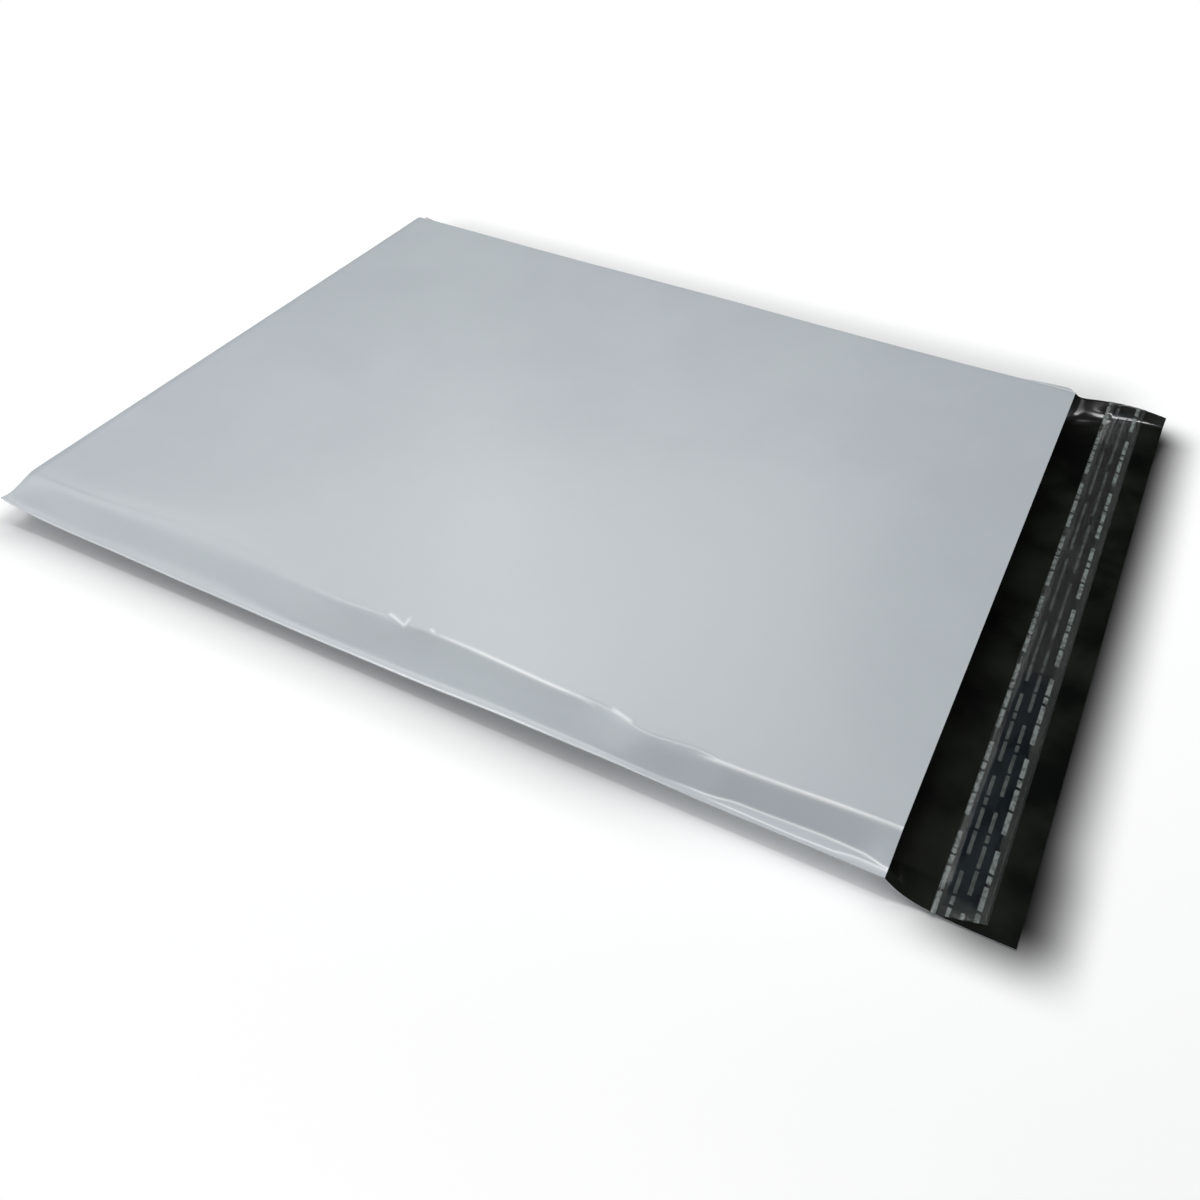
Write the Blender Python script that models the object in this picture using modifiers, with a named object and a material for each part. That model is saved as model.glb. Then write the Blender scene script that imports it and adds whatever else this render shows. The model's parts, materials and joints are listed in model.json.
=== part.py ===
"""Poly mailer bag: a self-seal mailing pouch folded and welded from one film, lying filled out and unsealed.

The pouch lies on its back along X. Its folded end is at -X, its mouth and the open lip at +X.
Metres, +Z up, origin on the surface that the bag lies on, under the middle of the whole bag.
"""
import math

import bmesh
import bpy

# The film as it lies flat: the front panel is BAG_L long, and the back panel is longer by the lip
BAG_W = 0.356
BAG_L = 0.432
LIP_L = 0.048
FILM_T = 0.0005
SEAL_W = 0.003
SEAL_GAP = 0.0002

# The filled form: two flat faces, sloping sides that meet at the seams, and a steep folded end
FILL_H = 0.019
SEAM_Z = 0.0088
END_IN = 0.0035
SIDE_FLARE = 1.35
EAR_LIFT = 0.0045
EAR_ALONG = 0.016
EAR_ACROSS = 0.024

# How far the flat face's crease lies in from a side edge: (share of the bag's length, metres)
NEAR_CREASE = (
    (0.00, 0.0125), (0.07, 0.0125), (0.265, 0.0180), (0.43, 0.0128), (0.56, 0.0180),
    (0.70, 0.0158), (0.77, 0.0098), (0.83, 0.0122), (1.00, 0.0152),
)
FAR_CREASE = ((0.00, 0.0110), (0.35, 0.0130), (0.85, 0.0155), (1.00, 0.0140))

# Beyond the mouth, the lip's near edge drops to the surface and its far edge stays turned up
LIP_NEAR_DROP = 0.0095
LIP_FAR_RISE = 0.0072

# The closure: an adhesive strip on the lip's inner face, under a release liner
LIP_EDGE = 0.0108
LINER_W = 0.0196
LINER_T = 0.0003
LINER_OVER = 0.002
ADHESIVE_W = 0.0130
ADHESIVE_T = 0.0003
ADHESIVE_IN = 0.0027
ADHESIVE_SHORT = 0.004
LAYER_GAP = 0.0003

# How finely the film is divided
STATION_STEP = 0.0108
FOLD_STATIONS = (0.0, 0.13, 0.45)
SLOPE_COLUMNS = 3
FACE_COLUMNS = 10
LIP_STEPS = 12
STRIP_STEPS = 4
SHARP_DEG = 40

MERGE = 1e-6
BACK, FRONT, CEILING, FLOOR = range(4)
HALF_SEAL = FILM_T + SEAL_GAP / 2
WHOLE_L = BAG_L + LIP_L
EDGE_Z = SEAM_Z - HALF_SEAL
LINER_FROM_MOUTH = LIP_L - LIP_EDGE - LINER_W


def clear_scene():
    """Removes every object, so that the bag is built in an empty scene."""
    for item in list(bpy.data.objects):
        bpy.data.objects.remove(item, do_unlink=True)


def plastic(name, colour, roughness, alpha=1.0):
    """A plastic finish."""
    finish = bpy.data.materials.new(name)
    finish.use_nodes = True
    shader = finish.node_tree.nodes["Principled BSDF"]
    shader.inputs["Base Color"].default_value = (*colour, 1.0)
    shader.inputs["Roughness"].default_value = roughness
    shader.inputs["Metallic"].default_value = 0.0
    shader.inputs["Alpha"].default_value = alpha
    return finish


def to_world(along, across, height):
    """From distances along and across the bag to the bag's own frame."""
    return along - WHOLE_L / 2, across - (BAG_W - LINER_OVER) / 2, height


def smooth(share):
    """An S-shaped ramp from 0 to 1."""
    share = min(1.0, max(0.0, share))
    return share * share * (3 - 2 * share)


def crease_inset(crease, along):
    """How far a crease lies in from its side edge, at a distance along from the folded end."""
    share = min(1.0, max(0.0, along / BAG_L))
    for (start, start_inset), (end, end_inset) in zip(crease, crease[1:]):
        if share <= end:
            return start_inset + (end_inset - start_inset) * smooth((share - start) / (end - start))
    return crease[-1][1]


def columns_at(along):
    """Distances across the bag from its near edge: weld, sloping side, flat face, and the same back."""
    near, far = crease_inset(NEAR_CREASE, along), crease_inset(FAR_CREASE, along)
    slope = [step / SLOPE_COLUMNS for step in range(SLOPE_COLUMNS + 1)]
    near_side = [0.0] + [SEAL_W + (near - SEAL_W) * step for step in slope]
    far_side = [BAG_W] + [BAG_W - SEAL_W - (far - SEAL_W) * step for step in slope]
    face = [near + (BAG_W - far - near) * step / FACE_COLUMNS for step in range(1, FACE_COLUMNS)]
    return near_side + face + far_side[::-1]


def fullness(along, across):
    """How far the film has parted at a point: 0 in the welds and at the fold, 1 on the flat faces."""
    if across < BAG_W / 2:
        edge, crease = across, crease_inset(NEAR_CREASE, along)
    else:
        edge, crease = BAG_W - across, crease_inset(FAR_CREASE, along)
    from_side = 1 - min(1.0, max(0.0, (edge - SEAL_W) / (crease - SEAL_W)))
    from_end = 1 - min(1.0, max(0.0, along / END_IN))
    if from_side + from_end == 0:
        return 1.0
    parted = max(0.0, 1 - math.hypot(from_side, from_end))
    end_share = from_end / (from_side + from_end)
    round_fold = math.sqrt(1 - (1 - parted) ** 2)
    return (1 - end_share) * parted ** SIDE_FLARE + end_share * round_fold


def seam_height(along, across):
    """Height of the seams and the fold, which rise to an ear at each folded corner."""
    edge = min(across, BAG_W - across)
    return SEAM_Z + EAR_LIFT * math.exp(-along / EAR_ALONG) * math.exp(-edge / EAR_ACROSS)


def front_outside(along, across):
    """Height of the front film's outer face."""
    low = seam_height(along, across) + HALF_SEAL
    return low + (FILL_H - low) * fullness(along, across)


def back_outside(along, across):
    """Height of the outer face of the back film, and of the lip that continues it beyond the mouth."""
    if along <= BAG_L:
        return (seam_height(along, across) - HALF_SEAL) * (1 - fullness(along, across))
    beyond = along - BAG_L
    at_mouth = EDGE_Z * (1 - fullness(BAG_L, across))
    if across < BAG_W / 2:
        return at_mouth * math.exp(-beyond / LIP_NEAR_DROP) * (1 - smooth(beyond / LIP_L))
    return at_mouth * (1 - (1 - LIP_FAR_RISE / EDGE_Z) * beyond / LIP_L)


def front_inside(along, across):
    """Height of the front film's inner face."""
    return front_outside(along, across) - FILM_T


def back_inside(along, across):
    """Height of the inner face of the back film and the lip."""
    return back_outside(along, across) + FILM_T


def fold_to_mouth():
    """Distances from the folded end: close together round the fold, then even up to the mouth."""
    steps = math.ceil((BAG_L - END_IN) / STATION_STEP)
    flat = [END_IN + (BAG_L - END_IN) * step / steps for step in range(steps + 1)]
    return [END_IN * share for share in FOLD_STATIONS] + flat


def place_strip(bm, strip, along, heights, film=0.0):
    """Puts a strip of faces across the bag; film is how far it lies inside the outer form."""
    column, side = bm.verts.layers.int["column"], bm.verts.layers.int["side"]
    columns = columns_at(along - film)
    for vert in {vert for face in strip for vert in face.verts}:
        across = columns[vert[column]]
        vert.co = to_world(along, across, heights[vert[side]](along - film, across))


def turn_side(bm, strip, old, new):
    """Marks the strip's vertices that were on one side as lying on another."""
    side = bm.verts.layers.int["side"]
    for vert in {vert for face in strip for vert in face.verts if vert[side] == old}:
        vert[side] = new


def extrude_strip(bm, strip, keep=False):
    """Extrudes a strip of faces in place; the faces that it starts from go, unless they are kept."""
    new = bmesh.ops.extrude_face_region(bm, geom=strip)["geom"]
    if not keep:
        bmesh.ops.delete(bm, geom=strip, context="FACES")
    return [item for item in new if isinstance(item, bmesh.types.BMFace)]


def outer_form(bm):
    """Extrudes one strip of faces from the fold to the mouth, down over the mouth, and out as the lip."""
    column, side = bm.verts.layers.int.new("column"), bm.verts.layers.int.new("side")
    last = len(columns_at(0.0)) - 1
    bmesh.ops.create_grid(bm, x_segments=last, y_segments=1, size=1.0)
    for vert in bm.verts:
        vert[column] = round((vert.co.x + 1) / 2 * last)
        vert[side] = FRONT if vert.co.y > 0 else BACK

    strip = list(bm.faces)
    stations = fold_to_mouth()
    place_strip(bm, strip, stations[0], {BACK: back_outside, FRONT: front_outside})
    for along in stations[1:]:
        strip = extrude_strip(bm, strip, keep=along == stations[1])
        place_strip(bm, strip, along, {BACK: back_outside, FRONT: front_outside})

    strip = extrude_strip(bm, strip)
    turn_side(bm, strip, FRONT, CEILING)
    place_strip(bm, strip, BAG_L, {BACK: back_outside, CEILING: front_inside})
    strip = extrude_strip(bm, strip)
    turn_side(bm, strip, CEILING, FLOOR)
    for step in range(LIP_STEPS + 1):
        place_strip(bm, strip, BAG_L + LIP_L * step / LIP_STEPS, {BACK: back_outside, FLOOR: back_inside})
        if step < LIP_STEPS:
            strip = extrude_strip(bm, strip)


def hollow(bm):
    """Extrudes the faces that close the mouth back into the pouch, up to the welds and the fold."""
    column, side = bm.verts.layers.int["column"], bm.verts.layers.int["side"]
    last = len(columns_at(0.0)) - 1
    strip = [
        face for face in bm.faces
        if {vert[side] for vert in face.verts} == {CEILING, FLOOR}
        and all(0 < vert[column] < last for vert in face.verts)
    ]
    for along in reversed(fold_to_mouth()[:-1]):
        strip = extrude_strip(bm, strip)
        place_strip(bm, strip, along + FILM_T, {CEILING: front_inside, FLOOR: back_inside}, FILM_T)


def film_pouch(collection):
    """The bag's one film: front panel, back panel and lip, folded at one end and welded at the sides."""
    bm = bmesh.new()
    outer_form(bm)
    hollow(bm)
    bmesh.ops.remove_doubles(bm, verts=bm.verts, dist=MERGE)
    bmesh.ops.triangulate(bm, faces=bm.faces, quad_method="SHORT_EDGE")
    bmesh.ops.recalc_face_normals(bm, faces=bm.faces)
    side = bm.verts.layers.int["side"]
    for face in bm.faces:
        face.material_index = int(all(vert[side] in (CEILING, FLOOR) for vert in face.verts))
        face.smooth = True
    mesh = bpy.data.meshes.new("film_pouch")
    bm.to_mesh(mesh)
    bm.free()
    mesh.set_sharp_from_angle(angle=math.radians(SHARP_DEG))
    mesh.materials.append(plastic("grey_outer_film", (0.52, 0.55, 0.58), 0.38))
    mesh.materials.append(plastic("black_inner_film", (0.008, 0.009, 0.009), 0.32))
    pouch = bpy.data.objects.new("film_pouch", mesh)
    collection.objects.link(pouch)
    return pouch


def strip_on_lip(name, collection, finish, from_mouth, width, near_end, far_end, lift, thickness):
    """A strip laid along the lip, lift above its inner face, and bent as the lip is."""
    inner = [place for place in columns_at(BAG_L) if near_end < place < far_end]
    across = [near_end] + inner + [far_end]
    bm = bmesh.new()
    bmesh.ops.create_grid(bm, x_segments=STRIP_STEPS, y_segments=len(across) - 1, size=1.0)
    for vert in bm.verts:
        along = BAG_L + from_mouth + width * (vert.co.x + 1) / 2
        place = across[round((vert.co.y + 1) / 2 * (len(across) - 1))]
        vert.co = to_world(along, place, back_inside(along, place) + lift)
    mesh = bpy.data.meshes.new(name)
    bm.to_mesh(mesh)
    bm.free()
    mesh.materials.append(finish)
    strip = bpy.data.objects.new(name, mesh)
    collection.objects.link(strip)
    body = strip.modifiers.new("thickness", "SOLIDIFY")
    body.thickness = thickness
    body.offset = 1.0
    return strip


def main():
    """Builds the bag's parts into their own collection."""
    clear_scene()
    collection = bpy.data.collections.new("poly_mailer_bag")
    bpy.context.scene.collection.children.link(collection)
    film_pouch(collection)
    strip_on_lip(
        "adhesive_strip", collection, plastic("hot_melt_adhesive", (0.02, 0.035, 0.05), 0.45),
        LINER_FROM_MOUTH + ADHESIVE_IN, ADHESIVE_W, ADHESIVE_SHORT, BAG_W - ADHESIVE_SHORT,
        LAYER_GAP, ADHESIVE_T,
    )
    strip_on_lip(
        "release_liner", collection, plastic("clear_release_film", (0.35, 0.38, 0.37), 0.3, 0.45),
        LINER_FROM_MOUTH, LINER_W, -LINER_OVER, BAG_W,
        2 * LAYER_GAP + ADHESIVE_T, LINER_T,
    )


main()
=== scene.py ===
import json
import math
from functools import lru_cache

import bmesh
import bpy
from mathutils import Matrix, Vector, noise

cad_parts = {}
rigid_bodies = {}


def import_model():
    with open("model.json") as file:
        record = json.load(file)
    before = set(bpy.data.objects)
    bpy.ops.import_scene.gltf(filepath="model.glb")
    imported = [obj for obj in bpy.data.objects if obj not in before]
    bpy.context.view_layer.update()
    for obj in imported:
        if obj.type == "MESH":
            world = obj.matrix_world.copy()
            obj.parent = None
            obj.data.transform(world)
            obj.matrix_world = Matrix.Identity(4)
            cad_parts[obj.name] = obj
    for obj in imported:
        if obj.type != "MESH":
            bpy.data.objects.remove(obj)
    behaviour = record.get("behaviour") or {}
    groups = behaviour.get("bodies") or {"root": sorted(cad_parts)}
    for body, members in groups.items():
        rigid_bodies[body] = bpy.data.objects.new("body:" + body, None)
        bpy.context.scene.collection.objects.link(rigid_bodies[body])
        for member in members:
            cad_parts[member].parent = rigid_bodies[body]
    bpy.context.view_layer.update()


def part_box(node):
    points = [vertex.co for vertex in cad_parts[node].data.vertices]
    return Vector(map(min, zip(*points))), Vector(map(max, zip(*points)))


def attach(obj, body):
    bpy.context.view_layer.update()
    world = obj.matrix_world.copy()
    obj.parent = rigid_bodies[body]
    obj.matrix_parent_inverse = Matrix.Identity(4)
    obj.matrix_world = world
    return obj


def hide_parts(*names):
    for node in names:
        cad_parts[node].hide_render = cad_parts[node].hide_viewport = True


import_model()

for item in list(bpy.data.objects):
    if item.type in ("LIGHT", "CAMERA"):
        bpy.data.objects.remove(item, do_unlink=True)


# The film pouch is one web of co-extruded film, light grey outside and black inside. It is folded at the
# closed end and welded and cut along both sides, and its back panel runs on past the mouth as the lip.
# It lies filled out: two flat faces, sloping sides that meet in narrow weld fins, and a steep folded end.
pouch_low, pouch_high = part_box("film_pouch")
pouch_w = pouch_high.y - pouch_low.y
lip_l = 0.048
pouch_l = pouch_high.x - pouch_low.x - lip_l
fill_h = 0.019
film_t = 0.00016
half_seal = film_t + 0.00004
end_in = 0.0035
ear_lift, ear_along, ear_across = 0.0045, 0.016, 0.024

# curves of (share of the length from the fold, value): how far the creases, the weld fins and their outer
# beads lie from the side edge, the creases' rounding, the hollowness of the sides, and the seam's height
near_crease = ((0.00, 0.0125), (0.07, 0.0125), (0.265, 0.0180), (0.43, 0.0128), (0.56, 0.0180),
               (0.70, 0.0158), (0.77, 0.0098), (0.83, 0.0122), (1.00, 0.0152))
far_crease = ((0.00, 0.0110), (0.35, 0.0130), (0.85, 0.0155), (1.00, 0.0150))
near_round = ((0.00, 1.00), (0.30, 0.95), (0.46, 0.70), (0.53, 0.10), (0.69, 0.08), (0.74, 0.55),
              (0.81, 0.40), (0.85, 0.08), (1.00, 0.08))
far_round = ((0.00, 0.35), (0.95, 0.30), (1.03, 0.55), (1.11, 0.70))
near_flare = ((0.00, 1.10), (0.07, 1.40), (0.45, 1.50), (0.60, 1.25), (0.80, 1.08), (1.00, 1.05))
far_flare = ((0.00, 1.10), (0.08, 1.30), (0.96, 1.20), (1.00, 1.02), (1.11, 1.05))
near_fin = ((0.00, 0.0022), (0.70, 0.0026), (0.79, 0.0026), (0.835, 0.0034), (0.87, 0.0054),
            (0.95, 0.0066), (0.975, 0.0063), (1.00, 0.0040))
far_fin = ((0.00, 0.0028), (0.97, 0.0028), (1.02, 0.0008), (1.11, 0.0008))
near_bead = ((0.00, 0.0005), (0.80, 0.0006), (0.85, 0.0021), (0.92, 0.0017), (0.95, 0.0020),
             (0.975, 0.0034), (1.00, 0.0033))
far_bead = ((0.00, 0.0005), (1.11, 0.0005))
near_seam_z = ((0.00, 0.0090), (0.14, 0.0089), (0.28, 0.0079), (0.41, 0.0074), (0.53, 0.0076),
               (0.66, 0.0091), (0.74, 0.0092), (0.86, 0.0084), (1.00, 0.0088))
far_seam_z = ((0.00, 0.0090), (0.50, 0.0080), (0.88, 0.0085), (0.99, 0.0112), (1.00, 0.0092))

# beyond the mouth the lip's near edge drops from the raised seam to the table
lip_near_z, lip_near_drop = 0.0086, 0.0095
# its far end lifts off the table and bends up: how far the bend draws in towards the edge; the lift before
# the bend, how wide it is, and how its wave runs along the lip; and the edge's height, swell and drop
lip_draw_in = 0.0106
lip_lift, lift_width, lift_turn, lift_delay = 0.0049, 0.035, 0.6, 1.3
lip_edge_z, lip_edge_swell, swell_turn = 0.0064, 0.0034, 0.8
lip_edge_drop, lip_drop_run = 0.0026, 0.002

# fine relief, as heights and as scales (along, across): soft swells, ripples of the sloping side that are
# gone at the seam and on the flat face, wrinkles of the lip, and the weld's pressed beads
swell_h, swell_scale, seam_calm, fold_calm = 0.00022, (9, 11), 0.004, 0.01
ripple_scale, ripple_in, ripple_out = (24, 210), 0.005, 0.012
wrinkle_h, wrinkle_scale, wrinkle_from = 0.0002, (55, 38), 0.25
bead_h, bead_spread = 0.00014, 0.0004

# painted highlight, partly stress whitening, on the outer film: the near crease, the seam's inner line, its
# cut edge
crease_highlight = ((0.00, 0.0), (0.525, 0.0), (0.56, 0.7), (0.60, 1.0), (0.67, 1.0), (0.705, 0.6), (0.72, 0.0),
                (0.815, 0.0), (0.84, 0.9), (0.94, 1.0), (1.00, 0.6))
seam_highlight = ((0.00, 0.0), (0.52, 0.1), (0.80, 0.15), (0.84, 0.9), (1.00, 1.0))
edge_highlight = ((0.00, 0.45), (0.40, 0.40), (0.55, 0.9), (0.655, 1.0), (0.70, 0.3), (0.83, 0.1),
              (0.86, 0.9), (1.00, 0.9))
crease_line, seam_line, pinch_highlight = 0.0007, 0.00035, 0.8
# where the lip's far end bends up: the bend as a share of the crease's distance from the edge, its width,
# and how far before the mouth it starts
bend_share, bend_line, bend_before = 0.88, 0.0032, 0.002

ripple_height = ((0.00, 0.00004), (0.40, 0.00006), (0.50, 0.00024), (0.64, 0.00024), (0.75, 0.00010),
                 (1.00, 0.00008))
# the little pinched folds of the near side, each from one (along, across) to another, height and spread
pinches = (
    ((0.2103, 0.0188), (0.2190, 0.0161), 0.00035, 0.0006),
    ((0.2196, 0.0161), (0.2190, 0.0200), 0.00030, 0.0006),
    ((0.2310, 0.0191), (0.2322, 0.0185), 0.00020, 0.0007),
    ((0.3171, 0.0160), (0.3253, 0.0139), 0.00030, 0.0007),
)
# further in than these, no pinch or painted highlight is worked out
pinch_reach, highlight_reach = 0.03, 0.04

# the grid: steps along the pouch, finer ones where (from, to, step) says so, and shares across each part
station_step = 0.0034
fine_steps = ((0.206, 0.235, 0.0008), (0.312, 0.330, 0.0010), (0.424, 0.432, 0.0013))
fold_shares = (0.0, 0.06, 0.16, 0.3, 0.48, 0.7)
bead_shares = (0.0, 0.35, 0.7)
fin_shares = (0.0, 0.12, 0.3, 0.5, 0.7, 0.88, 1.0)
slope_shares = (0.05, 0.1, 0.17, 0.24, 0.31, 0.38, 0.45, 0.52, 0.59, 0.66, 0.73, 0.79, 0.84, 0.88, 0.915,
                0.945, 0.97, 0.985, 1.0)
past_crease = (0.0003, 0.0007, 0.0012, 0.0018, 0.0025, 0.0034, 0.0046, 0.0064)
face_columns = 42
lip_steps = 26
merge_gap = 1e-7
sharp_from = math.radians(50)
BACK, FRONT, CEILING, FLOOR = range(4)


def ease(share):
    """An S-shaped ramp from 0 to 1."""
    share = min(1.0, max(0.0, share))
    return share * share * (3 - 2 * share)


@lru_cache(maxsize=None)
def at(curve, along):
    """A curve's value at a distance from the fold."""
    share = along / pouch_l
    for (start, low), (end, high) in zip(curve, curve[1:]):
        if share <= end:
            return low + (high - low) * ease((share - start) / (end - start))
    return curve[-1][1]


def to_world(along, across, height):
    """From distances along and across the pouch to the shared frame."""
    return Vector((pouch_low.x + along, pouch_low.y + across, height))


def crease_from_edge(crease, along):
    """How far a crease lies from its side edge; the far one draws in along the lip."""
    out = max(0.0, (along - pouch_l) / lip_l) if crease is far_crease else 0.0
    return at(crease, along) - lip_draw_in * math.sin(math.pi / 2 * out)


@lru_cache(maxsize=None)
def columns_at(along):
    """Distances across from the near edge: weld fin, sloping side, flat face, and the same back again."""
    sides = []
    for bead, fin, crease in ((near_bead, near_fin, near_crease), (far_bead, far_fin, far_crease)):
        bead_in, fin_in, crease_in = at(bead, along), at(fin, along), crease_from_edge(crease, along)
        sides.append([bead_in * share for share in bead_shares]
                     + [bead_in + (fin_in - bead_in) * share for share in fin_shares]
                     + [fin_in + (crease_in - fin_in) * share for share in slope_shares]
                     + [crease_in + step for step in past_crease])
    near, far = sides
    start, end = near[-1], pouch_w - far[-1]
    face = [start + (end - start) * step / face_columns for step in range(1, face_columns)]
    return near + face + [pouch_w - place for place in reversed(far)]


def fullness(along, across):
    """How far the film has parted: 0 in the weld fins and at the fold, 1 on the flat faces."""
    if across < pouch_w / 2:
        edge, fin, crease, rounding, flare = across, near_fin, near_crease, near_round, near_flare
    else:
        edge, fin, crease, rounding, flare = pouch_w - across, far_fin, far_crease, far_round, far_flare
    fin_in = at(fin, along)
    rise = max(0.0, (edge - fin_in) / (crease_from_edge(crease, along) - fin_in)) ** at(flare, along)
    blend = at(rounding, along)
    overlap = max(0.0, blend - abs(rise - 1)) / blend
    side = min(rise, 1.0) - overlap * overlap * blend / 4
    from_fold = 1 - min(1.0, along / end_in)
    return side * math.sqrt(1 - from_fold * from_fold)


def seam_height(along, across):
    """Height of the seams and the fold, which rise to an ear at each folded corner."""
    near = across < pouch_w / 2
    edge = across if near else pouch_w - across
    ear = ear_lift * math.exp(-along / ear_along - edge / ear_across)
    return at(near_seam_z if near else far_seam_z, along) + ear


def waves(along, across, scale, seed):
    """Smooth noise over the film, from about -1 to 1."""
    return noise.noise(Vector((along * scale[0], across * scale[1], seed)))


def ridge(along, across, start, end, height, spread):
    """A small straight ridge in the film, between two (along, across) places."""
    place, first, last = Vector((along, across)), Vector(start), Vector(end)
    run = last - first
    share = min(1.0, max(0.0, (place - first).dot(run) / run.length_squared))
    off = (place - first - run * share).length
    return height * math.exp(-(off / spread) ** 2)


def relief(along, across):
    """Soft swells of the face, shallow ripples of the sloping sides, and the near side's pinched folds."""
    swell = swell_h * waves(along, across, swell_scale, 1.7)
    edge = min(across, pouch_w - across)
    on_side = ease(edge / ripple_in) * (1 - ease((edge - ripple_out) / ripple_out))
    ripple = on_side * at(ripple_height, along) * waves(along, across, ripple_scale, 5.1)
    pinched = sum(ridge(along, across, *pinch) for pinch in pinches) if across < pinch_reach else 0.0
    return (swell + ripple) * ease(edge / seam_calm) + pinched


def line(across, place, spread):
    """The strength of a line that runs along the seam at a distance from the edge."""
    return math.exp(-((across - place) / spread) ** 2)


def bead(along, across):
    """The weld's two pressed beads: one beside the cut edge, one at the inner side of the fin."""
    edge, beads, fin = (across, near_bead, near_fin) if across < pouch_w / 2 else (
        pouch_w - across, far_bead, far_fin)
    return bead_h * (line(edge, at(fin, along), bead_spread) + line(edge, at(beads, along), bead_spread))


def front_outside(along, across):
    """Height of the front film's outer face."""
    low = seam_height(along, across) + half_seal
    filled = low + (fill_h - low) * fullness(along, across)
    return filled + bead(along, across) + relief(along, across) * min(1.0, along / fold_calm)


def back_outside(along, across):
    """Height of the outer face of the back film, and of the lip that continues it beyond the mouth."""
    if along <= pouch_l:
        return (seam_height(along, across) - half_seal) * (1 - fullness(along, across))
    beyond = along - pouch_l
    out = beyond / lip_l
    wrinkle = wrinkle_h * (0.5 + waves(along, across, wrinkle_scale, 2.2)) * ease(out / wrinkle_from)
    if across < pouch_w / 2:
        at_mouth = lip_near_z * (1 - fullness(pouch_l, across))
        return at_mouth * math.exp(-beyond / lip_near_drop) * (1 - ease(out)) + max(0.0, wrinkle)
    lift = lip_lift * math.sin(lift_turn * math.pi * out ** lift_delay)
    swell = lip_edge_swell * math.sin(swell_turn * math.pi * out)
    edge = lip_edge_z + swell + lip_edge_drop * math.exp(-beyond / lip_drop_run)
    lifted = lift * (1 - ease((pouch_w - across - crease_from_edge(far_crease, along)) / lift_width))
    return lifted + (edge - lift) * (1 - fullness(along, across)) + max(0.0, wrinkle)


def front_inside(along, across):
    """Height of the front film's inner face."""
    return front_outside(along, across) - film_t


def back_inside(along, across):
    """Height of the inner face of the back film and the lip."""
    return back_outside(along, across) + film_t


def stretch_and_highlight(along, across):
    """How far the outer film is painted pale and glossier at a place, from 0 to 1: a painted highlight,
    partly stress whitening.
    """
    if across > highlight_reach:
        return 0.0
    crease = line(across, at(near_crease, along), crease_line) * at(crease_highlight, along)
    seam = line(across, at(near_fin, along), seam_line) * at(seam_highlight, along)
    edge = line(across, at(near_bead, along), seam_line) * at(edge_highlight, along)
    pinched = max(ridge(along, across, start, end, pinch_highlight, spread) for start, end, _, spread in pinches)
    return min(1.0, crease + seam + edge + pinched)


def lip_shine(along, across):
    """How far the inner film is stretched and polished where the lip's far end bends up, from 0 to 1."""
    if along < pouch_l - bend_before:
        return 0.0
    return line(pouch_w - across, bend_share * crease_from_edge(far_crease, along), bend_line)


stations = [end_in * share for share in fold_shares]
along = end_in
while along < pouch_l - station_step / 2:
    stations.append(along)
    along += next((step for low, high, step in fine_steps if low <= along < high), station_step)
stations.append(pouch_l)


def own_layers(bm):
    """The values that each vertex carries: its column, the side it lies on, and how far it is polished,
    which on the outer film is also a painted highlight.
    """
    return bm.verts.layers.int["column"], bm.verts.layers.int["side"], bm.verts.layers.float["stretch_and_highlight"]


def place_strip(bm, strip, along, heights, inward=0.0):
    """Puts a strip of faces across the pouch; inward is how far it lies inside the outer form."""
    column, side, gloss_and_highlight_mask = own_layers(bm)
    columns = columns_at(along - inward)
    # the outer film's mask is a painted highlight as well as gloss; the lip's mask is gloss only
    polished = {FRONT: stretch_and_highlight, FLOOR: lip_shine}
    for vert in {vert for face in strip for vert in face.verts}:
        across = columns[vert[column]]
        vert.co = to_world(along, across, heights[vert[side]](along - inward, across))
        vert[gloss_and_highlight_mask] = polished[vert[side]](along, across) if vert[side] in polished else 0.0


def turn_side(bm, strip, old, new):
    """Marks the strip's vertices that were on one side as lying on another."""
    _, side, _ = own_layers(bm)
    for vert in {vert for face in strip for vert in face.verts if vert[side] == old}:
        vert[side] = new


def extrude_strip(bm, strip, keep=False):
    """Extrudes a strip of faces in place; the faces that it starts from go, unless they are kept."""
    new = bmesh.ops.extrude_face_region(bm, geom=strip)["geom"]
    if not keep:
        bmesh.ops.delete(bm, geom=strip, context="FACES")
    return [item for item in new if isinstance(item, bmesh.types.BMFace)]


bm = bmesh.new()
bm.verts.layers.int.new("column")
bm.verts.layers.int.new("side")
bm.verts.layers.float.new("stretch_and_highlight")
last_column = len(columns_at(0.0)) - 1
bmesh.ops.create_grid(bm, x_segments=last_column, y_segments=1, size=1.0)
column, side, _ = own_layers(bm)
for vert in bm.verts:
    vert[column] = round((vert.co.x + 1) / 2 * last_column)
    vert[side] = FRONT if vert.co.y > 0 else BACK

# one strip is extruded from the fold to the mouth, down over the mouth, and out as the lip
strip = list(bm.faces)
outer_faces = {BACK: back_outside, FRONT: front_outside}
place_strip(bm, strip, stations[0], outer_faces)
for along in stations[1:]:
    strip = extrude_strip(bm, strip, keep=along == stations[1])
    place_strip(bm, strip, along, outer_faces)
strip = extrude_strip(bm, strip)
turn_side(bm, strip, FRONT, CEILING)
place_strip(bm, strip, pouch_l, {BACK: back_outside, CEILING: front_inside})
strip = extrude_strip(bm, strip)
turn_side(bm, strip, CEILING, FLOOR)
place_strip(bm, strip, pouch_l, {BACK: back_outside, FLOOR: back_inside})
for step in range(1, lip_steps + 1):
    strip = extrude_strip(bm, strip)
    place_strip(bm, strip, pouch_l + lip_l * step / lip_steps, {BACK: back_outside, FLOOR: back_inside})

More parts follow.
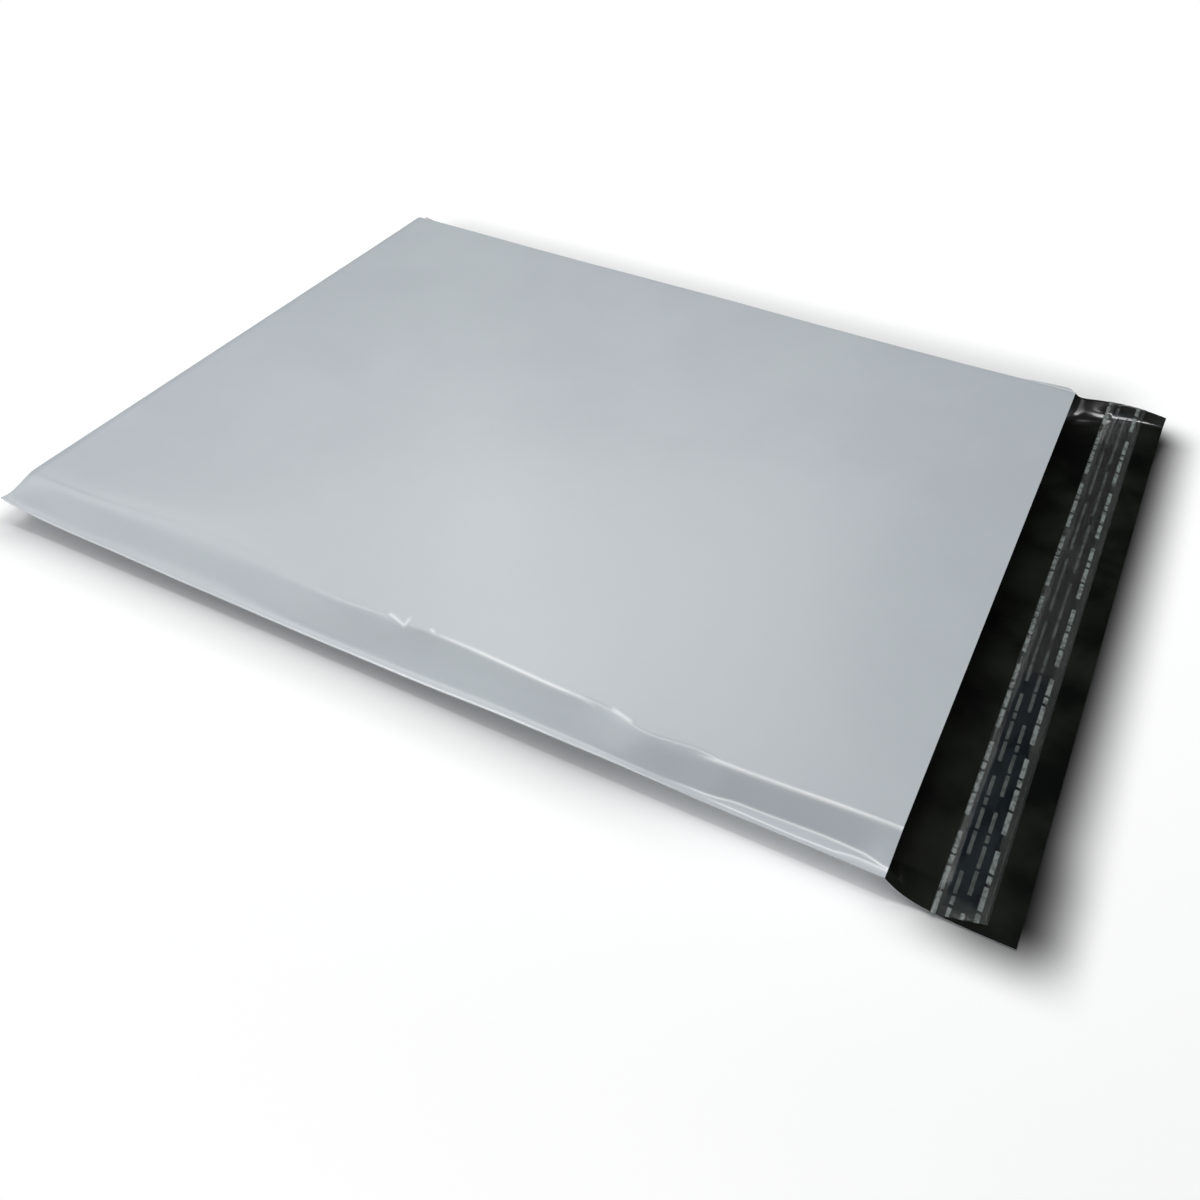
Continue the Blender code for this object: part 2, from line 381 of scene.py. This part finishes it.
# the faces that close the mouth are extruded back inside, up to the welds and the fold
first_open = len(bead_shares) + len(fin_shares) - 1
column, side, _ = own_layers(bm)
strip = [
    face for face in bm.faces
    if {vert[side] for vert in face.verts} == {CEILING, FLOOR}
    and all(first_open <= vert[column] <= last_column - first_open for vert in face.verts)
]
for along in reversed(stations[1:-1]):
    strip = extrude_strip(bm, strip)
    place_strip(bm, strip, along + film_t, {CEILING: front_inside, FLOOR: back_inside}, film_t)

bmesh.ops.remove_doubles(bm, verts=bm.verts, dist=merge_gap)
bmesh.ops.recalc_face_normals(bm, faces=bm.faces)
_, side, _ = own_layers(bm)
for face in bm.faces:
    face.material_index = int(all(vert[side] in (CEILING, FLOOR) for vert in face.verts))
    face.smooth = True
pouch_mesh = bpy.data.meshes.new("poly_mailer_pouch")
bm.to_mesh(pouch_mesh)
bm.free()
pouch_mesh.set_sharp_from_angle(angle=sharp_from)


class Nodes:
    """A node tree, with short calls that add its nodes and join them."""

    def __init__(self, tree):
        self.tree = tree

    def join(self, source, target):
        """Links an output to an input."""
        self.tree.links.new(source, target)

    def node(self, kind, inputs=(), **settings):
        """Adds a node; inputs are (socket, value or output) pairs."""
        made = self.tree.nodes.new(kind)
        for name, value in settings.items():
            setattr(made, name, value)
        for socket, value in inputs:
            if isinstance(value, bpy.types.NodeSocket):
                self.join(value, made.inputs[socket])
            else:
                made.inputs[socket].default_value = value
        return made

    def calc(self, operation, *values):
        """One step of arithmetic."""
        return self.node("ShaderNodeMath", enumerate(values), operation=operation).outputs[0]

    def scaled(self, scale):
        """Object coordinates, stretched by scale."""
        place = self.node("ShaderNodeTexCoord").outputs["Object"]
        return self.node("ShaderNodeMapping", (("Vector", place), ("Scale", scale))).outputs[0]

    def noise(self, scale, size, detail):
        """Noise over the object, with its own stretch."""
        inputs = (("Vector", self.scaled(scale)), ("Scale", size), ("Detail", detail))
        return self.node("ShaderNodeTexNoise", inputs).outputs["Fac"]

    def ramp(self, value, low, high, to_low=0.0, to_high=1.0):
        """A smooth step from to_low to to_high, while the value runs from low to high."""
        inputs = ((0, value), (1, low), (2, high), (3, to_low), (4, to_high))
        return self.node("ShaderNodeMapRange", inputs, interpolation_type="SMOOTHSTEP").outputs[0]

    def mix(self, share, low, high):
        """A colour between two."""
        made = self.node("ShaderNodeMix", data_type="RGBA")
        for socket, value in ((0, share), (6, low), (7, high)):
            if isinstance(value, bpy.types.NodeSocket):
                self.join(value, made.inputs[socket])
            else:
                made.inputs[socket].default_value = value if socket == 0 else (*value, 1.0)
        return made.outputs[2]

    def bump(self, height, strength, distance, under=None):
        """A bumped normal, on top of another where there is one."""
        inputs = [("Height", height), ("Strength", strength), ("Distance", distance)]
        if under is not None:
            inputs.append(("Normal", under))
        return self.node("ShaderNodeBump", inputs).outputs[0]


class Finish(Nodes):
    """A procedural material around one principled shader."""

    def __init__(self, name, roughness, specular=0.5):
        self.material = bpy.data.materials.new(name)
        self.material.use_nodes = True
        super().__init__(self.material.node_tree)
        self.shader = self.tree.nodes["Principled BSDF"]
        self.shader.inputs["Roughness"].default_value = roughness
        self.shader.inputs["Specular IOR Level"].default_value = specular


# blown film's faint mottle and fine grain, which both of its faces share
film_grain = bpy.data.node_groups.new("film_grain", "ShaderNodeTree")
film_grain.interface.new_socket(name="Mottle", in_out="OUTPUT", socket_type="NodeSocketFloat")
film_grain.interface.new_socket(name="Normal", in_out="OUTPUT", socket_type="NodeSocketVector")
grain = Nodes(film_grain)
grain_out = grain.node("NodeGroupOutput")
grain.join(grain.noise((1, 1, 1), 26, 4), grain_out.inputs["Mottle"])
grain.join(grain.bump(grain.noise((1, 1, 1), 1400, 2), 0.08, 0.0002), grain_out.inputs["Normal"])


grey_low, grey_high, grey_cloud = (0.468, 0.504, 0.538), (0.482, 0.520, 0.552), (0.478, 0.522, 0.546)
# the pale colour of the painted highlight on the outer film's creases, seams and cut edge, partly stress
# whitening
grey_stretch_and_highlight = (0.92, 0.94, 0.96)
black_low, black_high = (0.0030, 0.0036, 0.0032), (0.0135, 0.0155, 0.0120)


def grey_film():
    """Light bluish grey outer film: semi-gloss, faintly clouded, and paler where stretched, with a painted
    highlight there.
    """
    film = Finish("grey_outer_film", 0.3)
    film.shader.inputs["Coat Weight"].default_value = 0.25
    film.shader.inputs["Coat Roughness"].default_value = 0.22
    grained = film.node("ShaderNodeGroup", node_tree=film_grain)
    mottle = grained.outputs["Mottle"]
    cloud = film.ramp(film.noise((1, 1, 1), 5, 2), 0.3, 0.7, 0.0, 0.5)
    colour = film.mix(film.ramp(mottle, 0.35, 0.65), grey_low, grey_high)
    colour = film.mix(cloud, colour, grey_cloud)
    gloss_and_highlight_mask = film.node("ShaderNodeAttribute", attribute_name="stretch_and_highlight").outputs["Fac"]
    # the crease, seam, cut edge and pinch lines are painted pale: a painted highlight, partly stress
    # whitening
    colour = film.mix(film.calc("MULTIPLY", gloss_and_highlight_mask, 0.85), colour, grey_stretch_and_highlight)
    film.join(colour, film.shader.inputs["Base Color"])
    rough = film.ramp(mottle, 0.3, 0.7, 0.28, 0.34)
    rough = film.calc("SUBTRACT", rough, film.calc("MULTIPLY", gloss_and_highlight_mask, 0.12))
    film.join(rough, film.shader.inputs["Roughness"])
    crinkle = film.bump(film.noise((1, 1.3, 1), 45, 2), 0.08, 0.001, grained.outputs["Normal"])
    film.join(crinkle, film.shader.inputs["Normal"])
    return film.material


def black_film():
    """Black inner film: carbon black in soft blotches, drawn in wrinkles, and polished where it bends."""
    film = Finish("black_inner_film", 0.3, 0.1)
    film.shader.inputs["Coat Roughness"].default_value = 0.10
    grained = film.node("ShaderNodeGroup", node_tree=film_grain)
    mottle = grained.outputs["Mottle"]
    colour = film.mix(film.ramp(mottle, 0.35, 0.7), black_low, black_high)
    film.join(colour, film.shader.inputs["Base Color"])
    gloss_and_highlight_mask = film.node("ShaderNodeAttribute", attribute_name="stretch_and_highlight").outputs["Fac"]
    film.join(film.ramp(gloss_and_highlight_mask, 0.0, 1.0, 0.20, 0.11), film.shader.inputs["Roughness"])
    film.join(gloss_and_highlight_mask, film.shader.inputs["Coat Weight"])
    wrinkle = film.bump(film.noise((1, 0.45, 1), 90, 4), 0.15, 0.0012, grained.outputs["Normal"])
    film.join(wrinkle, film.shader.inputs["Normal"])
    return film.material


pouch_mesh.materials.append(grey_film())
pouch_mesh.materials.append(black_film())
pouch = bpy.data.objects.new("poly_mailer_pouch", pouch_mesh)
bpy.context.scene.collection.objects.link(pouch)
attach(pouch, "root")
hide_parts("film_pouch")


# The adhesive is a band of hot-melt glue, coated hot onto the lip's inner face from edge to edge.
# It is tacky and dark, and its face keeps the fine lines and small pits that the coating head leaves.
glue_low, glue_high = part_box("adhesive_strip")
glue_from = glue_low.x - pouch_low.x
glue_w = glue_high.x - glue_low.x
glue_near, glue_far = glue_low.y - pouch_low.y, glue_high.y - pouch_low.y
glue_lift, glue_t = 0.00006, 0.00022
glue_low_colour, glue_high_colour = (0.0018, 0.0055, 0.0095), (0.005, 0.012, 0.018)
strip_columns, strip_step = 12, 0.003
slant_run = 0.05


def strip_on_lip(name, start, width, near_end, far_end, height_at, thickness, slant=0.0):
    """A strip along the lip that bends with it, and is mapped flat in metres; slant skews its near cut."""
    rows = [near_end]
    for place in [*(place for place in columns_at(pouch_l + lip_l) if near_end < place < far_end), far_end]:
        begin = rows[-1]
        parts = max(1, math.ceil((place - begin) / strip_step))
        rows += [begin + (place - begin) * part / parts for part in range(1, parts + 1)]
    middle = start + width / 2
    travelled = [0.0]
    for before, place in zip(rows, rows[1:]):
        climb = height_at(middle, place) - height_at(middle, before)
        travelled.append(travelled[-1] + math.hypot(place - before, climb))
    strip_bm = bmesh.new()
    bmesh.ops.create_grid(strip_bm, x_segments=strip_columns, y_segments=len(rows) - 1, size=1.0)
    flat_map = strip_bm.loops.layers.uv.new("flat")
    flat = {}
    for vert in strip_bm.verts:
        row = round((vert.co.y + 1) / 2 * (len(rows) - 1))
        in_strip = width * (vert.co.x + 1) / 2
        skew = slant * in_strip / width * max(0.0, 1 - (rows[row] - near_end) / slant_run)
        flat[vert] = (in_strip, travelled[row] + skew)
        along, across = start + in_strip, rows[row] + skew
        vert.co = to_world(along, across, height_at(along, across))
    for face in strip_bm.faces:
        face.smooth = True
        for loop in face.loops:
            loop[flat_map].uv = flat[loop.vert]
    mesh = bpy.data.meshes.new(name)
    strip_bm.to_mesh(mesh)
    strip_bm.free()
    made = bpy.data.objects.new(name, mesh)
    bpy.context.scene.collection.objects.link(made)
    body = made.modifiers.new("thickness", "SOLIDIFY")
    body.thickness = thickness
    body.offset = 1.0
    return made


def glue_height(along, across):
    """The glue's underside, just above the lip."""
    return back_inside(along, across) + glue_lift


def glue_finish():
    """Dark blue-black glue: glossy, lined along the coating, with cloudy patches."""
    glue = Finish("hot_melt_adhesive", 0.25, 0.12)
    cloud = glue.noise((1, 0.35, 1), 120, 3)
    colour = glue.mix(glue.ramp(cloud, 0.35, 0.7), glue_low_colour, glue_high_colour)
    glue.join(colour, glue.shader.inputs["Base Color"])
    glue.join(glue.ramp(cloud, 0.3, 0.7, 0.2, 0.45), glue.shader.inputs["Roughness"])
    lines = glue.bump(glue.noise((1, 0.04, 1), 900, 2), 0.15, 0.0002)
    glue.join(glue.bump(cloud, 0.15, 0.0004, lines), glue.shader.inputs["Normal"])
    return glue.material


glue = strip_on_lip("adhesive_band", glue_from, glue_w, glue_near, glue_far, glue_height, glue_t)
glue.data.materials.append(glue_finish())
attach(glue, "root")
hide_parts("adhesive_strip")


# The release liner is a thin clear film, silicone coated, laid over the glue so that it peels off in one
# pull. It carries four rows of small pale dashes, and stands a little over the lip's near edge.
liner_low, liner_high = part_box("release_liner")
liner_from = liner_low.x - pouch_low.x
liner_w = liner_high.x - liner_low.x
liner_t = 0.00005
liner_over_lip = 0.00012
liner_near, liner_far = liner_low.y - pouch_low.y, liner_high.y - pouch_low.y
liner_set_back, liner_end_slant = 0.0012, 0.0055
# the lengths in which the liner comes down to the lip: beside the glue, and at the glue's near and far ends
side_step, near_step, near_step_out, far_step = 0.001, 0.005, 0.003, 0.004
buckle_h, buckle_scale = 0.00012, (80, 60)
liner_low_colour, liner_high_colour = (0.095, 0.112, 0.102), (0.160, 0.180, 0.165)
print_colour = (0.230, 0.263, 0.256)
first_row, row_pitch, last_row, row_shift = 0.0012, 0.0048, 3, 0.0173
print_half, inner_thinner, print_run = 0.0010, 0.0002, 0.0492
# the bare gaps between the dashes of one run, as (middle, half length)
print_gaps = ((0.0116, 0.0005), (0.0238, 0.0006), (0.0290, 0.0004), (0.0446, 0.0040))


def liner_height(along, across):
    """The liner's underside: on the lip at its margins, and over the glue in the middle."""
    off_side = min(along - glue_from, glue_from + glue_w - along)
    over_glue = ease((off_side + side_step) / side_step)
    past_near, past_far = across - glue_near + near_step_out, glue_far + far_step - across
    glue_end = ease(min(past_near / near_step, past_far / far_step))
    lift = liner_over_lip + (glue_lift + glue_t) * over_glue * glue_end
    buckle = buckle_h * (0.5 + waves(along, across, buckle_scale, 9.3))
    return back_inside(along, max(0.0, across)) + lift + max(0.0, buckle)


def print_and_near_end(film, in_strip, down):
    """Two masks: rows of plain dashes, the inner ones thinner and fainter, and the loose near end."""
    rows = film.calc("DIVIDE", film.calc("SUBTRACT", in_strip, first_row), row_pitch)
    row = film.calc("MINIMUM", film.calc("ROUND", rows), last_row)
    off_row = film.calc("ABSOLUTE", film.calc("MULTIPLY", film.calc("SUBTRACT", rows, row), row_pitch))
    outer = film.ramp(film.calc("ABSOLUTE", film.calc("SUBTRACT", row, last_row / 2)), 0.9, 1.1)
    half_row = film.ramp(outer, 0.0, 1.0, print_half - inner_thinner, print_half)
    ink = film.ramp(film.calc("SUBTRACT", off_row, half_row), -0.00025, 0.0001, 1.0, 0.0)
    shifted = film.calc("ADD", down, film.calc("MULTIPLY", row, row_shift))
    in_run = film.calc("MULTIPLY", film.calc("FRACT", film.calc("DIVIDE", shifted, print_run)), print_run)
    for middle, half in print_gaps:
        off_gap = film.calc("ABSOLUTE", film.calc("SUBTRACT", in_run, middle))
        ink = film.calc("MULTIPLY", ink, film.ramp(off_gap, half, half + 0.0003))
    strokes = film.ramp(film.noise((1, 1, 1), 420, 2), 0.35, 0.62, 0.62, 1.0)
    near_end = film.ramp(film.calc("ADD", down, film.calc("MULTIPLY", row, 0.001)), 0.008, 0.016, 1.0, 0.0)
    bold = film.calc("MAXIMUM", film.ramp(outer, 0.0, 1.0, 0.44, 1.0), near_end)
    return film.calc("MULTIPLY", film.calc("MULTIPLY", ink, strokes), bold), near_end


def liner_finish():
    """Clear release film: glossy, with rows of plain pale dashes, and a little hazy where it is loose."""
    film = Finish("clear_release_film", 0.3, 0.0)
    flat = film.node("ShaderNodeUVMap", uv_map="flat").outputs[0]
    in_strip, down, _ = film.node("ShaderNodeSeparateXYZ", ((0, flat),)).outputs
    ink, near_end = print_and_near_end(film, in_strip, down)
    haze = film.noise((1, 0.4, 1), 90, 4)
    clear = film.mix(film.ramp(haze, 0.35, 0.65), liner_low_colour, liner_high_colour)
    film.join(film.mix(ink, clear, print_colour), film.shader.inputs["Base Color"])
    off_glue = film.calc("ABSOLUTE", film.calc("SUBTRACT", in_strip, glue_from + glue_w / 2 - liner_from))
    ragged = film.calc("ADD", off_glue, film.ramp(haze, 0.3, 0.7, -0.0010, 0.0010))
    margin = film.ramp(ragged, glue_w / 2 - 0.0012, glue_w / 2)
    patch = film.ramp(film.noise((1, 0.3, 1), 110, 3), 0.48, 0.72, 0.0, 0.35)
    loose = film.calc("MAXIMUM", film.calc("MAXIMUM", margin, patch), near_end)
    veil = film.ramp(loose, 0.0, 1.0, 0.01, 0.17)
    film.join(film.calc("MAXIMUM", film.calc("MULTIPLY", ink, 0.85), veil), film.shader.inputs["Alpha"])
    buckled = film.bump(haze, 0.12, 0.0005)
    film.join(buckled, film.shader.inputs["Normal"])
    surface = film.node("ShaderNodeFresnel", (("IOR", 1.34), ("Normal", buckled)))
    gloss = film.node("ShaderNodeBsdfGlossy", (("Roughness", 0.13), ("Normal", buckled)))
    both = film.node("ShaderNodeMixShader", (
        (0, surface.outputs[0]), (1, film.shader.outputs[0]), (2, gloss.outputs[0])))
    film.join(both.outputs[0], film.tree.nodes["Material Output"].inputs["Surface"])
    return film.material


liner = strip_on_lip("release_liner_film", liner_from, liner_w, liner_near + liner_set_back, liner_far,
                     liner_height, liner_t, liner_end_slant)
liner.data.materials.append(liner_finish())
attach(liner, "root")
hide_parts("release_liner")


# The studio is a matt white table that keeps the bag's soft shadow and runs out to plain white. Broad lamps
# on the left, behind and in front, a long one overhead, a small one over the lip's far end and a pale sky
# light it, and the camera looks down on it.
floor_half, floor_drop = 12.0, 0.0002
floor_bm = bmesh.new()
bmesh.ops.create_grid(floor_bm, x_segments=1, y_segments=1, size=floor_half,
                      matrix=Matrix.Translation((0, 0, -floor_drop)))
floor_mesh = bpy.data.meshes.new("studio_floor")
floor_bm.to_mesh(floor_mesh)
floor_bm.free()
studio_floor = bpy.data.objects.new("studio_floor", floor_mesh)
bpy.context.scene.collection.objects.link(studio_floor)

table_top = Finish("white_table", 0.8, 0.0)
table_top.shader.inputs["Base Color"].default_value = (0.86, 0.86, 0.86, 1.0)
on_table = table_top.node("ShaderNodeTexCoord").outputs["Object"]
axes = table_top.node("ShaderNodeSeparateXYZ", ((0, on_table),))


def shade_patch(west, east, south, north):
    """A soft patch's mask: 1 inside; each side is the (from, to) in x or y over which it fades."""
    sides = []
    for along_axis, rise, fall in ((0, west, east), (1, south, north)):
        for low, high, to_low, to_high in ((*rise, 0.0, 1.0), (*fall, 1.0, 0.0)):
            sides.append(table_top.ramp(axes.outputs[along_axis], low, high, to_low, to_high))
    return table_top.calc("MULTIPLY", table_top.calc("MULTIPLY", sides[0], sides[1]),
                          table_top.calc("MULTIPLY", sides[2], sides[3]))


# the bag's shade on the table is deeper in the photograph than these lamps make it, so the table's own paint
# is darker in soft patches: beside the lip, at its near end, and along the bag's near and far sides
shade = 1.12
for depth, west, east, south, north in (
    (0.985, (0.195, 0.232), (0.238, 0.268), (-0.198, -0.165), (0.165, 0.195)),
    (0.50, (0.180, 0.215), (0.236, 0.268), (-0.200, -0.166), (-0.150, -0.120)),
    (0.32, (-0.262, -0.238), (0.060, 0.160), (-0.208, -0.176), (-0.150, -0.120)),
    (0.30, (-0.262, -0.225), (0.200, 0.245), (0.120, 0.160), (0.190, 0.240)),
):
    patch = table_top.calc("MULTIPLY", shade_patch(west, east, south, north), depth)
    shade = table_top.calc("MULTIPLY", shade, table_top.calc("SUBTRACT", 1.0, patch))
# how far a place on the table is from the bag, past which the table fades to plain white
squares = []
for axis, half in ((0, 0.24), (1, 0.18)):
    past = table_top.calc("SUBTRACT", table_top.calc("ABSOLUTE", axes.outputs[axis]), half)
    past = table_top.calc("MAXIMUM", past, 0.0)
    squares.append(table_top.calc("MULTIPLY", past, past))
away = table_top.calc("SQRT", table_top.calc("ADD", *squares))
light_path = table_top.node("ShaderNodeLightPath")
seen = table_top.calc("MAXIMUM", light_path.outputs["Is Camera Ray"], table_top.calc(
    "MAXIMUM", light_path.outputs["Is Glossy Ray"], light_path.outputs["Is Transmission Ray"]))
shade_grey = table_top.node("ShaderNodeCombineColor", ((0, shade), (1, shade), (2, shade)))
lit_white = table_top.node("ShaderNodeBsdfDiffuse", (("Color", shade_grey.outputs[0]),))
plain_white = table_top.node("ShaderNodeEmission", (("Strength", 1.0),))
shown = table_top.node("ShaderNodeMixShader", (
    (0, table_top.ramp(away, 0.05, 0.20)), (1, lit_white.outputs[0]), (2, plain_white.outputs[0])))
whole = table_top.node("ShaderNodeMixShader", (
    (0, seen), (1, table_top.shader.outputs[0]), (2, shown.outputs[0])))
table_top.join(whole.outputs[0], table_top.tree.nodes["Material Output"].inputs["Surface"])
floor_mesh.materials.append(table_top.material)


def area_lamp(name, place, target, size, watts):
    """A rectangular soft lamp at a place, facing a target."""
    lamp = bpy.data.lights.new(name, "AREA")
    lamp.shape = "RECTANGLE"
    lamp.size, lamp.size_y = size
    lamp.energy = watts
    made = bpy.data.objects.new(name, lamp)
    made.location = place
    made.rotation_euler = (Vector(place) - Vector(target)).to_track_quat("Z", "Y").to_euler()
    bpy.context.scene.collection.objects.link(made)


area_lamp("left_lamp", (-1.34, 0.98, 1.73), (0.0, 0.0, 0.0), (1.3, 1.0), 8.8)
area_lamp("back_lamp", (-0.62, 1.48, 1.78), (0.0, 0.0, 0.0), (1.0, 1.0), 7.5)
area_lamp("overhead_lamp", (-0.32, 0.0, 1.20), (-0.32, 0.0, 0.0), (0.95, 0.07), 3.2)
area_lamp("bend_lamp", (0.26, 0.27, 1.20), (0.22, 0.17, 0.0), (0.24, 0.30), 2.5)
area_lamp("side_lamp", (-1.52, -0.27, 1.84), (0.0, 0.0, 0.0), (1.0, 1.0), 5.0)
area_lamp("front_lamp", (-1.05, -1.20, 0.68), (-0.05, -0.1, 0.0), (1.4, 0.8), 3.2)

# the sky is bright at both sides, and dark where the black lip and its raised end would mirror it: low
# behind the bag, and in a band that runs overhead from there to the camera
world = bpy.data.worlds.new("studio_sky")
world.use_nodes = True
air = Nodes(world.node_tree)
rays = air.node("ShaderNodeLightPath").outputs
towards = air.node("ShaderNodeSeparateXYZ", ((0, air.node("ShaderNodeTexCoord").outputs["Generated"]),))
behind = air.ramp(towards.outputs[1], -0.15, 0.35)
low_sky = air.ramp(towards.outputs[2], 0.76, 0.92, 1.0, 0.0)
off_band = air.ramp(air.calc("ABSOLUTE", towards.outputs[0]), 0.12, 0.40, 0.12, 1.0)
off_back = air.ramp(air.calc("MULTIPLY", behind, low_sky), 0.0, 1.0, 1.0, 0.05)
sky_level = air.calc("MAXIMUM", air.ramp(low_sky, 0.0, 1.0, 0.90, 0.63), rays["Is Glossy Ray"])
sky = world.node_tree.nodes["Background"]
sky.inputs["Color"].default_value = (0.98, 0.99, 1.0, 1.0)
air.join(air.calc("MULTIPLY", air.calc("MULTIPLY", off_band, off_back), sky_level), sky.inputs["Strength"])
white_sky = air.node("ShaderNodeBackground", (("Color", (1.0, 1.0, 1.0, 1.0)), ("Strength", 1.0)))
sky_seen = air.calc("MAXIMUM", rays["Is Camera Ray"], rays["Is Transmission Ray"])
sky_shown = air.node("ShaderNodeMixShader", ((0, sky_seen), (1, sky.outputs[0]), (2, white_sky.outputs[0])))
air.join(sky_shown.outputs[0], world.node_tree.nodes["World Output"].inputs["Surface"])
bpy.context.scene.world = world

# the camera that was fitted to the photograph
camera_at = Vector((0.2015, -0.4248, 0.3467))
turn, tilt, roll = math.radians(26.55), math.radians(42.80), math.radians(1.62)
focal_px, photo_px, sensor = 1130.6, 1200, 36.0
back = Vector((math.sin(turn) * math.cos(tilt), -math.cos(turn) * math.cos(tilt), math.sin(tilt)))
level = Vector((math.cos(turn), math.sin(turn), 0.0))
upright = back.cross(level)
right = math.cos(roll) * level + math.sin(roll) * upright
up = math.cos(roll) * upright - math.sin(roll) * level
lens = bpy.data.cameras.new("photo_camera")
lens.sensor_fit = "HORIZONTAL"
lens.sensor_width = sensor
lens.lens = focal_px / photo_px * sensor
lens.clip_start, lens.clip_end = 0.01, 60.0
camera = bpy.data.objects.new("photo_camera", lens)
camera.matrix_world = Matrix.Translation(camera_at) @ Matrix((right, up, back)).transposed().to_4x4()
bpy.context.scene.collection.objects.link(camera)
bpy.context.scene.camera = camera
bpy.context.scene.view_settings.view_transform = "Standard"
